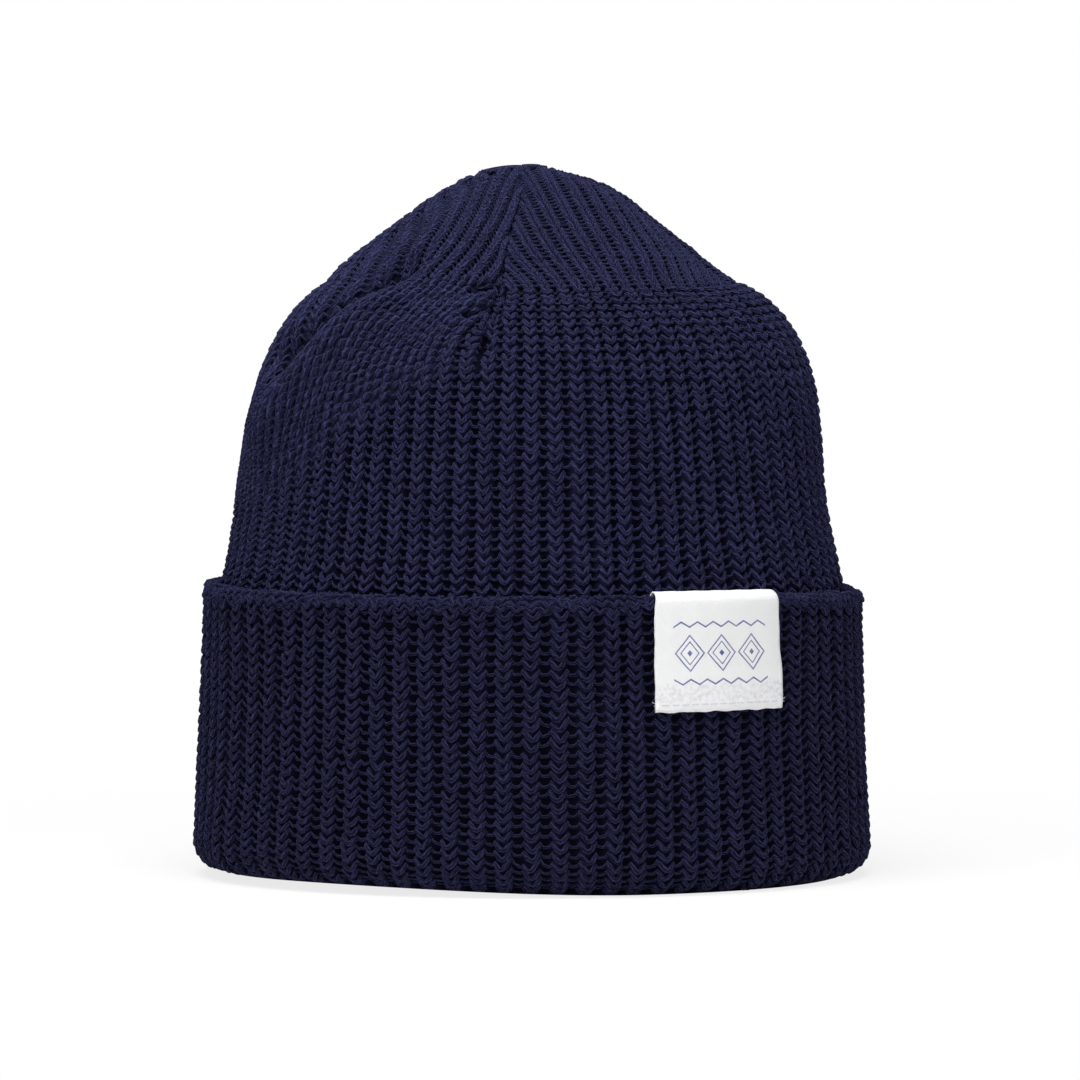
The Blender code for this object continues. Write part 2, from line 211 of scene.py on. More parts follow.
# The slack left side. A side gives the rib where it starts and its run, then where it ends and its run
SLUMP = 0.038  # how far the knit sinks at the left side, along it
SLUMP_POWER = 1.15
SLUMP_SIDE = (-8.2, 6.5, -34.0, 12.0)
GATHER = 0.032  # of the body's top that is gathered left of the dart
GATHER_RIBS = 10.0
GATHER_RUN = 6.0
GATHER_RISE = 0.005  # how far the gathered knit rises above the rest
GATHER_CLOSE = 0.25  # how much closer its rows are
GATHER_ROWS = 4  # short rows that are added there
SHORT_REACH = (6.5, 7.5, 6.0, 7.0)  # ribs
CREASE = ((7.5, 9.0, 7.0), (-4.0, -12.0, 9.0))  # millimetres deep, above the shoulder line, spread
CREASE_SIDE = (-6.5, 4.0, -17.5, 4.0)
SLACK_REACH = 0.036
SLACK_SPREAD = 0.0032  # further down, for each rib away
SLACK_SPREAD_RIBS = 12.0
SLACK_RUN = 0.018
SLACK_SIDE = (-0.5, 2.0, -33.0, 10.0)

# How far the outline stands out: millimetres, at a height and with a spread
SWELL_LEFT = ((1.2, 181.0, 7.0), (-0.8, 160.0, 14.0))
SWELL_RIGHT = (
    (1.6, 203.0, 5.0),
    (-0.8, 190.0, 6.0),
    (-1.3, 181.0, 6.0),
    (1.4, 148.0, 26.0),
    (1.0, 96.0, 10.0),
)
SWELL_ROUND = ((0.6, 85.0, 5.0),)
BODY_SLACK = 0.28  # waves in the body, in millimetres
CUFF_SLACK = 0.22  # the same in the cuff
FOLD_LIFT = 0.0026
ROLL_SPREAD = 4.0  # of the cuff's rolled edge, in millimetres
ROLL_SWELL = 0.0011
ROLL_IN = 0.0010
ROLL_DOWN = 0.0006
EDGE_DROOP = 0.0026
DROOP_TURN = math.radians(92)
DROOP_SPREAD = math.radians(32)
LINK_PITCH = 0.006  # of the yarns wound along a seam
RIB_WIDTH = 0.0072  # about, on the body
THREAD_TAILS = ((-1, 2.6, 0.9), (-1, 2.3, -0.2), (1, 2.9, 0.8), (1, 2.6, -0.3))  # side, length, rise

chance = np.random.default_rng(UNEVEN_SEED)


# Lines of the hat, as points of (half width, height) or (distance, height)


def stacked(*parts):
    """Arrays brought to one shape and put side by side along a new last axis."""
    return np.stack(np.broadcast_arrays(*parts), axis=-1)


def bezier(guides, steps):
    """Points of a Bezier curve, by repeated mixing of neighbouring guide points."""
    share = np.linspace(0.0, 1.0, steps + 1)[:, None, None]
    points = np.repeat(np.array(guides, float)[None], steps + 1, axis=0)
    while points.shape[1] > 1:
        points = points[:, :-1] * (1 - share) + points[:, 1:] * share
    return points[:, 0]


def arc(middle, radius, first, last, steps):
    """Points on a round, from one angle to another in degrees, as (distance, height)."""
    angle = np.radians(np.linspace(first, last, steps + 1))
    return stacked(middle[0] + radius * np.cos(angle), middle[1] + radius * np.sin(angle))


def lengths_along(line):
    """Length of a line from its start to each of its points, as the sum of its steps."""
    return np.concatenate([[0.0], np.cumsum(np.linalg.norm(np.diff(line, axis=0), axis=1))])


def columns_at(length, lengths, line):
    """Each column of a line's table, read off at these lengths."""
    return [np.interp(length, lengths, column) for column in line.T]


def even_line(line, step, blur):
    """The same line with its points at even lengths, and the direction square to it, out of the hat."""
    length = lengths_along(line)
    even = np.linspace(0.0, length[-1], int(length[-1] / step) + 1)
    points = stacked(*columns_at(even, length, line))
    along = np.gradient(points, axis=0)
    padded = np.pad(along, ((blur, blur), (0, 0)), mode="edge")
    window = np.ones(2 * blur + 1) / (2 * blur + 1)
    along = stacked(*[np.convolve(column, window, mode="valid") for column in padded.T])
    along /= np.linalg.norm(along, axis=1, keepdims=True)
    return even, np.column_stack([points, along[:, 1], -along[:, 0]])


def flare_at(height):
    """How far the cuff stands out at a height: the square of its share of the way down to the fold."""
    share = np.clip((EDGE_MIDDLE - height) / (EDGE_MIDDLE - FOLD_TOP), 0.0, None)
    return CUFF_FLARE * share**2


SHOULDER_LINE = bezier(
    (
        (HALF_WIDTH, CUFF_DEPTH),
        (HALF_WIDTH - SIDE_DRAW_IN, CUFF_DEPTH + SIDE_RUN),
        (CROWN_HALF_WIDTH + SHOULDER_REACH, CROWN_BASE - SHOULDER_DROP),
        (CROWN_HALF_WIDTH, CROWN_BASE),
    ),
    400,
)
CROWN_LINE = bezier(
    ((CROWN_HALF_WIDTH, CROWN_BASE), (PEAK_ROUND, HEIGHT - PEAK_POINT), (0.0, HEIGHT)), 400
)
BODY_LINE = np.vstack([((HALF_WIDTH, 0.0),), SHOULDER_LINE])
BODY_TOP = lengths_along(BODY_LINE)[-1]
HAT_LENGTH, HAT_LINE = even_line(np.vstack([BODY_LINE, CROWN_LINE[1:]]), 0.0005, 4)
PEAK = HAT_LENGTH[-1]

WALL_HEIGHTS = np.linspace(FOLD_TOP, EDGE_MIDDLE, 60)[1:-1]
EDGE_ROUND = (POCKET + CUFF_WALL / 2, EDGE_MIDDLE)
FOLD_STEPS = 40
EDGE_STEPS = 24
CUFF_SIDE = np.vstack(
    [
        arc((LIP_CLEARANCE, FOLD_TOP), FOLD_RADIUS, -90, 0, FOLD_STEPS),
        stacked(CUFF_OUTSIDE + flare_at(WALL_HEIGHTS), WALL_HEIGHTS),
        arc(EDGE_ROUND, CUFF_WALL / 2, 0, 180, EDGE_STEPS),
        stacked(POCKET + flare_at(WALL_HEIGHTS), WALL_HEIGHTS)[::-1],
    ]
)
CUFF_LENGTH, CUFF_LINE = even_line(CUFF_SIDE, 0.0003, 2)
EDGE_START = lengths_along(CUFF_SIDE)[FOLD_STEPS + 1 + len(WALL_HEIGHTS)]
EDGE_END = lengths_along(CUFF_SIDE)[FOLD_STEPS + 1 + len(WALL_HEIGHTS) + EDGE_STEPS]
CUFF_END = EDGE_END + EDGE_TURN_IN

FINE_TURN = np.linspace(0.0, 2 * math.pi, 3601)
FINE_ROUND = np.concatenate(
    [[0.0], np.cumsum(np.hypot(np.diff(np.sin(FINE_TURN)), DEPTH_SHARE * np.diff(np.cos(FINE_TURN))))]
)
ROUND_PER_HALF_WIDTH = FINE_ROUND[-1]


def turn_at(ribs):
    """The oval's angle from the front, at a place counted in ribs along its outline."""
    share = np.mod(np.asarray(ribs, float) / RIBS, 1.0)
    return np.interp(share * ROUND_PER_HALF_WIDTH, FINE_ROUND, FINE_TURN)


# How the soft knit departs from its solid


def eased(value):
    """A share from 0 to 1 that starts and ends gently: three squares less two cubes."""
    share = np.clip(value, 0.0, 1.0)
    return share * share * (3.0 - 2.0 * share)


def hill(value, middle, spread):
    """A soft hill of height one round a middle value."""
    return np.exp(-(((value - middle) / spread) ** 2))


def hills(value, table):
    """A sum of soft hills, each given by its height, middle and spread."""
    return sum(height * hill(value, middle, spread) for height, middle, spread in table)


def ribs_from(ribs, place):
    """Ribs away from a place round the hat, the short way, less than nothing to its left."""
    return np.mod(ribs - place + RIBS / 2, RIBS) - RIBS / 2


def seam_twist(length):
    """Ribs that the seams turn by at a length, more towards the peak, and the oval's share of its base."""
    share = np.minimum(np.interp(length, HAT_LENGTH, HAT_LINE[:, 0]) / CROWN_HALF_WIDTH, 1.0)
    return CROWN_TWIST * (1.0 - share), share


def pulled(ribs, length):
    """Where the ribs lie, as those beside the dart lean in, and how far each is swallowed by it."""
    twist, width = seam_twist(length)
    away = ribs_from(ribs, SEAM_SHIFT_RIBS + twist)
    size = np.abs(away) * width
    reach = DART_REACH + DART_SPREAD * np.minimum(size, DART_SPREAD_RIBS)
    below = eased((length - BODY_TOP + reach) / reach)
    above = eased((BODY_TOP + PULL_FADE - length) / PULL_FADE)
    swallow = np.where(away < 0, *DART_SWALLOW)
    wing = np.where(away < 0, *DART_WING)
    pull = np.minimum(below, above) * swallow * hill(size, 0.0, wing)
    step = SEAM_STEP * hill(away, 0.0, SEAM_STEP_RIBS) * hill(length, BODY_TOP, SEAM_STEP_RUN)
    moved = np.maximum(size - pull, LEAST_GAP * size)
    ribs = ribs + np.sign(away) * (moved - size) / np.maximum(width, 0.05) + step
    return ribs, eased((pull - size) / 0.5)


def side_share(away, front, front_run, back, back_run):
    """A share that grows from nothing at a rib left of the front, and is gone again at one further back."""
    return eased((front - away) / front_run) * eased((away - back) / back_run)


def slump(ribs):
    """How far the top of the body sinks at a rib: nothing at the front, most at the left side."""
    return SLUMP * side_share(ribs_from(ribs, 0.0), *SLUMP_SIDE)


def gathered(ribs):
    """How far a rib belongs to the gathered knit left of the dart, fully at the dart itself."""
    away = ribs_from(ribs, SEAM_SHIFT_RIBS)
    return eased((away + GATHER_RIBS) / GATHER_RUN) * (away < 0.0)


def slumped(ribs, length, gather):
    """Where a row lies along the side.

    At the left the body's rows crowd together over the cuff and the gore's spread out. Left of the dart
    the rows climb instead.
    """
    low = np.clip((length - CUFF_DEPTH) / (BODY_TOP - CUFF_DEPTH), 0.0, 1.0) ** SLUMP_POWER
    high = np.clip((PEAK - length) / (PEAK - BODY_TOP), 0.0, 1.0)
    climb = np.clip((length - BODY_TOP + GATHER) / GATHER, 0.0, 1.0)
    return length - slump(ribs) * np.minimum(low, high) + GATHER_RISE * gather * np.minimum(climb, high)


def seam_groove(ribs, length):
    """Depth of the groove over the seams of the gores."""
    twist, share = seam_twist(length)
    half = RIBS_PER_GORE / 2
    nearest = np.mod(ribs - SEAM_SHIFT_RIBS - twist + half, RIBS_PER_GORE) - half
    over = np.where(length > BODY_TOP, 0.4 + 0.5 * hill(length, BODY_TOP, GROOVE_FADE), 0.0)
    return GROOVE * over * eased(share / 0.5) * hill(nearest * share, 0.0, GROOVE_RIBS)


def dart_tucks(ribs, length):
    """Shares from 0 to 1: how far a place lies in the two tucks or the hole to the left of the dart."""
    away = ribs_from(ribs, SEAM_SHIFT_RIBS + SEAM_STEP)
    down = (BODY_TOP - length) / MM
    left = eased((away + 2.2) / 0.6) * eased((0.3 - away) / 0.3)
    tucks = sum(hill(down, start - slant * away, spread) for start, slant, spread in DART_TUCKS)
    hole = hill(down, *DART_HOLE[:2]) * hill(away, *DART_HOLE[2:])
    return np.clip(np.maximum(tucks * left, hole), 0.0, 1.0)


def dart_folds(ribs, length):
    """Depth of the dart under the front seam: a slanting groove, tucks to its left and a hole."""
    away = ribs_from(ribs, SEAM_SHIFT_RIBS + SEAM_STEP)
    down = (BODY_TOP - length) / MM
    ends = eased(down + 0.5) * eased((DART_LENGTH - down) / 6.0)
    groove = (hill(away + 0.02 * down, 0.2, 0.3) - 0.25 * hill(away, -0.9, 0.5)) * ends
    return GROOVE * np.maximum(groove, TUCK_DEPTH * dart_tucks(ribs, length))


def shoulder_crease(ribs, length):
    """Depth of a slack crease on the left shoulder: sunk above its line and swollen below."""
    above = (length - BODY_TOP + slump(ribs)) / MM
    return side_share(ribs_from(ribs, 0.0), *CREASE_SIDE) * hills(above, CREASE) * MM


def slack_share(ribs, length):
    """How far a stitch has gone slack: fully on the left shoulder, where its arms lie over to one side."""
    away = ribs_from(ribs, SEAM_SHIFT_RIBS)
    foot = BODY_TOP - (SLACK_REACH + SLACK_SPREAD * np.clip(-away, 0.0, SLACK_SPREAD_RIBS))
    return eased((length - foot) / SLACK_RUN) * side_share(away, *SLACK_SIDE)


def swelling(turn, height):
    """How far the outline stands out from the solid's even one: a sum of soft hills at each side."""
    up = height / MM
    left = np.clip(-np.sin(turn), 0.0, 1.0) ** 2
    right = np.clip(np.sin(turn), 0.0, 1.0) ** 2
    out = left * hills(up, SWELL_LEFT) + right * hills(up, SWELL_RIGHT) + hills(up, SWELL_ROUND)
    slack = np.sin(3.0 * turn + up / 17.0) + np.sin(5.0 * turn - up / 23.0 + 1.0)
    return (out + BODY_SLACK * slack) * MM


def fold_lift(turn, height):
    """How far the lower end rises off the floor: a little left of the front, and only near the fold."""
    front = (1.0 + np.cos(turn)) / 2
    return FOLD_LIFT * eased((0.4 - np.sin(turn)) / 1.2) * front * (1.0 - eased((height - 0.004) / 0.03))


def on_hat(ribs, length, depth):
    """Points of the hat at a rib count, a length up the knit from the floor, and a depth under its crests.

    The knit's place is first moved as it lies on the hat. The side line gives the oval's half width and
    height there, and depth goes in square to that line.
    """
    sink = seam_groove(ribs, length)
    gather = gathered(ribs)
    ribs, swallowed = pulled(ribs, length)
    sink = sink + np.maximum(dart_folds(ribs, length), SWALLOW_DEPTH * swallowed)
    length = slumped(ribs, length, gather)
    half_width, height, out_width, out_height = columns_at(length, HAT_LENGTH, HAT_LINE)
    turn = turn_at(ribs)
    sink = sink + shoulder_crease(ribs, length) - swelling(turn, height)
    depth = depth + sink * eased(height / 0.02)
    rise = np.clip((height - CROWN_BASE) / CROWN_RISE, 0.0, None)
    x = (half_width - depth * out_width) * np.sin(turn) + PEAK_LEAN * rise**2
    y = -(half_width * DEPTH_SHARE - depth * out_width) * np.cos(turn)
    z = height - depth * out_height + fold_lift(turn, height)
    return stacked(x, y, z)


def on_body(ribs, length, depth):
    """Points of the hat's body, which ends where the gores begin."""
    return on_hat(ribs, np.minimum(length, BODY_TOP), depth)


def on_cuff(ribs, length, depth):
    """Points of the cuff at a rib count, a length along its section from the fold's lip, and a depth.

    The section line gives a distance outside the head band and a height, and the oval grows by the
    distance. The fold rises a little left of the front, and the edge droops at the right end.
    """
    distance, height, out_distance, out_height = columns_at(length, CUFF_LENGTH, CUFF_LINE)
    turn = turn_at(ribs)
    up = height / MM
    slack = CUFF_SLACK * (np.sin(4.0 * turn + up / 21.0) + np.sin(7.0 * turn - up / 16.0 + 2.0)) * MM
    inner_side = eased((length - EDGE_START) / (EDGE_END - EDGE_START))
    roll = hill(up, CUFF_DEPTH / MM, ROLL_SPREAD) * (1.0 - 0.7 * inner_side)
    depth = depth - ROLL_SWELL * roll
    distance = distance - depth * out_distance - ROLL_IN * roll + slack * eased((height - 0.003) / 0.02)
    droop = EDGE_DROOP * hill(turn, DROOP_TURN, DROOP_SPREAD) * eased((height - 0.06) / 0.025)
    height = height - depth * out_height + fold_lift(turn, height) - droop - ROLL_DOWN * roll
    x = (HALF_WIDTH + distance) * np.sin(turn)
    y = -(HALF_DEPTH + distance) * np.cos(turn)
    return stacked(x, y, height)


# Meshes from arrays


def add_object(name, data):
    """An object in the scene that holds these data."""
    thing = bpy.data.objects.new(name, data)
    bpy.context.scene.collection.objects.link(thing)
    return thing


def smooth_mesh(name, points, quads, material):
    """A smooth mesh from an array of points and an array of four-cornered faces."""
    mesh = bpy.data.meshes.new(name)
    mesh.vertices.add(points.size // 3)
    mesh.vertices.foreach_set("co", np.asarray(points, np.float32).ravel())
    mesh.loops.add(quads.size)
    mesh.loops.foreach_set("vertex_index", np.asarray(quads, np.int32).ravel())
    mesh.polygons.add(quads.size // 4)
    mesh.polygons.foreach_set("loop_start", np.arange(0, quads.size, 4, dtype=np.int32))
    mesh.polygons.foreach_set("use_smooth", np.ones(quads.size // 4, bool))
    mesh.update(calc_edges=True)
    mesh.materials.append(material)
    return mesh


def add_piece(name, points, quads, material, body, nodes, maps=(), second=None):
    """A piece in the place of some nodes, with its texture maps.

    A second material may be given with the number of the first face that has it.
    """
    mesh = smooth_mesh(name, points, quads, material)
    for map_name, corners in maps:
        layer = mesh.uv_layers.new(name=map_name)
        layer.data.foreach_set("uv", np.asarray(corners, np.float32).ravel())
    if second:
        mesh.materials.append(second[0])
        mesh.polygons.foreach_set("material_index", (np.arange(len(quads)) >= second[1]).astype(np.int32))
    piece = add_object(name, mesh)
    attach(piece, body)
    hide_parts(*nodes)
    return piece


def unit(vectors):
    """Each vector at a length of one."""
    return vectors / np.maximum(np.linalg.norm(vectors, axis=-1, keepdims=True), 1e-12)


def yarn_rings(surface, ribs, lengths, depth, radius, closed=False):
    """Rings of points round a yarn's line on a surface.

    At each point the line's direction and the surface's outward direction span a frame, and the ring is
    the point plus the radius times cosine outward and sine across.
    """
    middles = surface(ribs, lengths, depth)
    outwards = surface(ribs, lengths, depth - MM) - middles
    if closed:
        along = np.roll(middles, -1, axis=0) - np.roll(middles, 1, axis=0)
    else:
        along = np.gradient(middles, axis=0)
    along = unit(along)
    across = unit(np.cross(along, outwards))
    out = np.cross(across, along)
    sides = ROUND_SIDES if closed else OPEN_SIDES
    angle = 2 * math.pi * np.arange(sides) / sides
    ring = np.cos(angle)[:, None] * out[:, None] + np.sin(angle)[:, None] * across[:, None]
    return middles[:, None] + np.broadcast_to(radius, len(middles))[:, None, None] * ring


def yarn_mesh(courses, closed):
    """One mesh of many yarns, each given as its rings of points.

    Neighbouring rings are joined by faces and open ends get a cap. Each yarn has its own strips of one
    map, and a second map holds the run along it and the share of the way round it.
    """
    points, quads, strip, twist = [], [], [], []
    start = 0
    sides = courses[0].shape[1]
    around = np.arange(sides)
    after = (around + 1) % sides
    for number, rings in enumerate(courses):
        count = len(rings)
        steps = count if closed else count - 1
        first = np.arange(steps)[:, None] * sides
        second = (np.arange(steps)[:, None] + 1) % count * sides
        faces = stacked(first + around, first + after, second + after, second + around)
        quads.append(start + faces.reshape(-1, 4))
        middles = rings.mean(axis=1)
        step = np.linalg.norm(np.roll(middles, -1, axis=0) - middles, axis=1)
        run = np.concatenate([[0.0], np.cumsum(step)])[: steps + 1]
        runs = stacked(run[:-1], run[:-1], run[1:], run[1:])[:, None]
        shares = stacked(around, around + 1, around + 1, around)[None] / sides
        twist.append(stacked(runs, shares).reshape(-1, 4, 2))
        part = np.arange(steps) * STRIPS // steps
        begins = np.searchsorted(part, np.arange(STRIPS))
        ends = np.append(begins[1:], steps)
        size = np.maximum(run[ends] - run[begins], 1e-6)
        flat = (runs - run[begins][part][:, None, None]) / size[part][:, None, None]
        high = number * STRIPS + part[:, None, None] + 0.94 * shares
        strip.append(stacked(flat, high).reshape(-1, 4, 2))
        if not closed:
            for end, order in ((0, (0, 3, 2, 1, 0, 5, 4, 3)), (count - 1, (0, 1, 2, 3, 0, 3, 4, 5))):
                quads.append(start + np.array(order).reshape(2, 4) + end * sides)
                twist.append(np.zeros((2, 4, 2)))
                strip.append(np.zeros((2, 4, 2)) + (0.0, number * STRIPS))
        points.append(rings.reshape(-1, 3))
        start += count * sides
    strip = np.concatenate(strip) / (1.0, STRIPS * len(courses))
    maps = (("OFBake", strip), ("yarn_run", np.concatenate(twist)))
    return np.concatenate(points), np.concatenate(quads), maps


def add_yarns(name, courses, closed, material, body, node):
    """A piece made of yarns, in the place of one node."""
    points, quads, maps = yarn_mesh(courses, closed)
    add_piece(name, points, quads, material, body, [node], maps)


def eased_chance(count, size):
    """Random values, one to a stitch, eased along the course by mixing each with its neighbours."""
    values = chance.normal(0.0, size, count)
    return (np.roll(values, 1) + 3 * values + np.roll(values, -1)) / 3.3


RIB_SINK = chance.normal(0.0, RIB_DEPTH, RIBS) * MM
RIB_STEP = chance.normal(0.0, RIB_PLACE, RIBS)


def round_courses(levels, row, surface, stitch=BODY_STITCH, to_rib=1, loose=1.0, span=None):
    """Courses round the hat, one at each level, every stitch a little its own way.

    They are closed, or open between two places round the hat. A level may also be a function of the
    place.
    """
    stitches = np.arange(RIBS * to_rib) + (round(span[0]) if span else 0)
    courses = []
    for level in levels:
        levels_here = level(stitches) if callable(level) else np.full(len(stitches), level)
        if surface is on_body:
            slack = slack_share(stitches, levels_here)[:, None, None]
            shape = stitch * (1.0 - slack) + SLACK_STITCH * slack
        else:
            shape = np.broadcast_to(stitch, (len(stitches), *stitch.shape))
        share, rise, depth, radius = shape.transpose(2, 0, 1).reshape(4, -1)
        places = np.repeat(stitches, len(stitch)) + share
        sizes = (UNEVEN_RISE, UNEVEN_SKEW, UNEVEN_DEPTH, UNEVEN_PLACE)
        own = [loose * eased_chance(len(stitches), size) for size in sizes]
        own = [np.interp(places, stitches, values, period=len(stitches)) for values in (*own, levels_here)]
        lift, skew, sink, shift, length = own
        if callable(level):
            length = level(places)
        ribs = (places + shift) / to_rib
        by_rib = [np.interp(ribs, np.arange(RIBS), values, period=RIBS) for values in (RIB_SINK, RIB_STEP)]
        high = row * (1.0 - GATHER_CLOSE * gathered(ribs)) if callable(level) else row
        length = length + (rise + lift + skew * np.sin(2 * math.pi * share)) * high
        deep = (depth + sink) * MM + by_rib[0]
        thick = radius * (1.0 + 0.5 * sink) * MM
        if surface is on_body:
            thick = BODY_YARN * thick * (1.0 - 0.5 * pulled(ribs, length)[1])
        else:
            thick = CUFF_YARN * thick
        ribs = ribs + by_rib[1]
        if span:
            tuck = dart_tucks(pulled(ribs, length)[0], length)
            clear = (tuck < TUCK_OPEN) | (ribs < RIBS / 2) & (ribs > SEAM_SHIFT_RIBS)
            kept = (ribs > span[0]) & (ribs < span[1]) & clear
            ribs, length, deep, thick = [values[kept] for values in (ribs, length, deep, thick)]
        courses.append(yarn_rings(surface, ribs, length, deep, thick, span is None))
    return courses


def gore_middle(length, face, lean, spread):
    """At a length up a gore: the rib that runs up to the peak, the oval's size and the ribs' spread."""
    share = seam_twist(length)[1]
    scale = 1.0 + spread * eased((length - BODY_TOP) / GORE_WIDEN_RUN)
    return face + lean * share**GORE_LEAN_POWER, share, scale


def gore_courses(first_seam, lie, stitch, row):
    """Open courses of one gore, each between its two seams.

    Its ribs go on from the body's and keep their distance from one rib that runs up to the peak, so the
    others end at the seams.
    """
    courses = []
    for length in np.arange(BODY_TOP + 0.5 * row, PEAK, row):
        twist, share = seam_twist(length)
        if share * CROWN_HALF_WIDTH < TIE_REACH:
            break
        middle, share, scale = gore_middle(length, *lie)
        low = (first_seam + twist - middle) * share / scale
        high = (first_seam + twist + RIBS_PER_GORE - middle) * share / scale
        stitches = np.arange(math.floor(low) - 1, math.ceil(high) + 2)
        places = (stitches[:, None] + stitch[:, 0]).ravel()
        places = places[(places > low + 0.05) & (places < high - 0.05)]
        places = places[pulled(middle + places * scale / share, length)[1] < 0.5]
        places = np.concatenate([[low], places, [high]])
        uneven = [eased_chance(len(stitches), size) for size in (UNEVEN_RISE, UNEVEN_DEPTH)]
        lift, sink = [np.interp(places, stitches, values) for values in uneven]
        rise, depth, radius = [np.interp(places, stitch[:, 0], stitch[:, i], period=1.0) for i in (1, 2, 3)]
        rise = rise * np.minimum(np.minimum(places - low, high - places) / 0.5, 1.0)
        up = np.minimum(length + (rise + lift) * row, PEAK - 0.0005)
        foot = eased((BODY_TOP + 0.0006 - up) / 0.0012)
        deep = (depth + sink) * MM + GORE_FOOT_SINK * foot
        middle, share, scale = gore_middle(up, *lie)
        ribs = middle + places * scale / share
        thick = radius * (1.0 + GORE_FULLNESS * slump(ribs) / SLUMP) * MM
        courses.append(yarn_rings(on_hat, ribs, up, deep, thick))
    return courses


def linked_yarns(surface, ribs, lengths, depth, bead):
    """Two yarns wound round each other along a seam: each goes round its middle in a circle."""
    turns = 2 * math.pi * lengths / LINK_PITCH
    yarns = []
    for start in (0.0, math.pi):
        side = 0.25 * bead * np.cos(turns + start) / RIB_WIDTH
        deep = depth + 0.25 * bead * np.sin(turns + start)
        yarns.append(yarn_rings(surface, ribs + side, lengths, deep, 0.26 * bead))
    return yarns


def grid_quads(rows, columns, closed):
    """Faces of a grid of points, row by row; a closed grid's last column is joined to its first."""
    row = np.arange(rows - 1)[:, None] * columns
    column = np.arange(columns if closed else columns - 1)
    after = (column + 1) % columns
    return stacked(row + column, row + after, row + columns + after, row + columns + column)


def shell_mesh(outside, inside, closed):
    """Two matching grids of points, rows up the hat and columns round it, joined into one closed wall.

    The inside's faces come last, and the number of the first of them is given too.
    """
    rows, columns = outside.shape[:2]
    points = np.concatenate([outside.reshape(-1, 3), inside.reshape(-1, 3)])
    front = grid_quads(rows, columns, closed)
    column, after = front[0, :, :2].T
    far = rows * columns
    top = (rows - 1) * columns
    quads = [
        front.reshape(-1, 4),
        stacked(far + column, far + after, after, column),
        stacked(top + column, top + after, far + top + after, far + top + column),
    ]
    if not closed:
        low = np.arange(rows - 1) * columns
        high = low + columns
        last = columns - 1
        quads.append(stacked(low, high, far + high, far + low))
        quads.append(stacked(high + last, low + last, far + low + last, far + high + last))
    inner_first = sum(len(part) for part in quads)
    quads.append((front[..., ::-1] + far).reshape(-1, 4))
    return points, np.concatenate(quads), inner_first


# Materials


def new_material(name):
    """An empty node material, its tree and its shader."""
    material = bpy.data.materials.new(name)
    material.use_nodes = True
    tree = material.node_tree
    return material, tree, tree.nodes["Principled BSDF"]


def add_node(tree, kind, **settings):
    """A node with these settings."""
    node = tree.nodes.new(kind)
    for key, value in settings.items():
        setattr(node, key, value)
    return node


def set_inputs(node, values):
    """Plain values on a node's inputs, by name."""
    for name, value in values.items():
        node.inputs[name].default_value = value


class Field:
    """A value in a material's tree. Each sum done with it adds a maths node there."""

    def __init__(self, tree, socket):
        self.tree = tree
        self.socket = socket

    def maths(self, operation, other=0.0, clamp=False):
        """The result of one operation on this value and another, a number or a field."""
        node = add_node(self.tree, "ShaderNodeMath", operation=operation, use_clamp=clamp)
        self.tree.links.new(self.socket, node.inputs[0])
        if isinstance(other, Field):
            self.tree.links.new(other.socket, node.inputs[1])
        else:
            node.inputs[1].default_value = other
        return Field(self.tree, node.outputs[0])

    def __add__(self, other):
        return self.maths("ADD", other)

    def __sub__(self, other):
        return self.maths("SUBTRACT", other)

    def __mul__(self, other):
        return self.maths("MULTIPLY", other)

    def __abs__(self):
        return self.maths("ABSOLUTE")


def wave(turns):
    """A sine with one wave to each turn."""
    return (turns * (2 * math.pi)).maths("SINE")


def map_parts(tree, name):
    """The two numbers of a texture map."""
    parts = add_node(tree, "ShaderNodeSeparateXYZ")
    source = add_node(tree, "ShaderNodeUVMap", uv_map=name)
    tree.links.new(source.outputs["UV"], parts.inputs[0])
    return Field(tree, parts.outputs[0]), Field(tree, parts.outputs[1])


def noise(tree, scale, detail):
    """A soft noise from 0 to 1 over the piece's own coordinates."""
    node = add_node(tree, "ShaderNodeTexNoise")
    set_inputs(node, {"Scale": scale, "Detail": detail})
    coordinates = add_node(tree, "ShaderNodeTexCoord")
    tree.links.new(coordinates.outputs["Object"], node.inputs["Vector"])
    return Field(tree, node.outputs["Fac"])


def ramp(value, low, dark, high, light):
    """A colour that goes from dark to light as a value goes from low to high."""
    node = add_node(value.tree, "ShaderNodeValToRGB")
    for element, place, colour in zip(node.color_ramp.elements, (low, high), (dark, light)):
        element.position = place
        element.color = (*colour, 1.0)
    value.tree.links.new(value.socket, node.inputs["Fac"])
    return node.outputs["Color"]


def bump(height, distance, strength):
    """A shading bump from a height."""
    node = add_node(height.tree, "ShaderNodeBump")
    set_inputs(node, {"Distance": distance, "Strength": strength})
    height.tree.links.new(height.socket, node.inputs["Height"])
    return node.outputs["Normal"]


def set_cloth(shader, colour, normal, roughness, specular, sheen, tint):
    """Colour, bump and plain finish values of a cloth."""
    links = shader.id_data.links
    links.new(colour, shader.inputs["Base Color"])
    if normal:
        links.new(normal, shader.inputs["Normal"])
    set_inputs(shader, {"Roughness": roughness, "Specular IOR Level": specular, "Sheen Weight": sheen})
    set_inputs(shader, {"Sheen Roughness": 0.5, "Sheen Tint": (*tint, 1.0)})


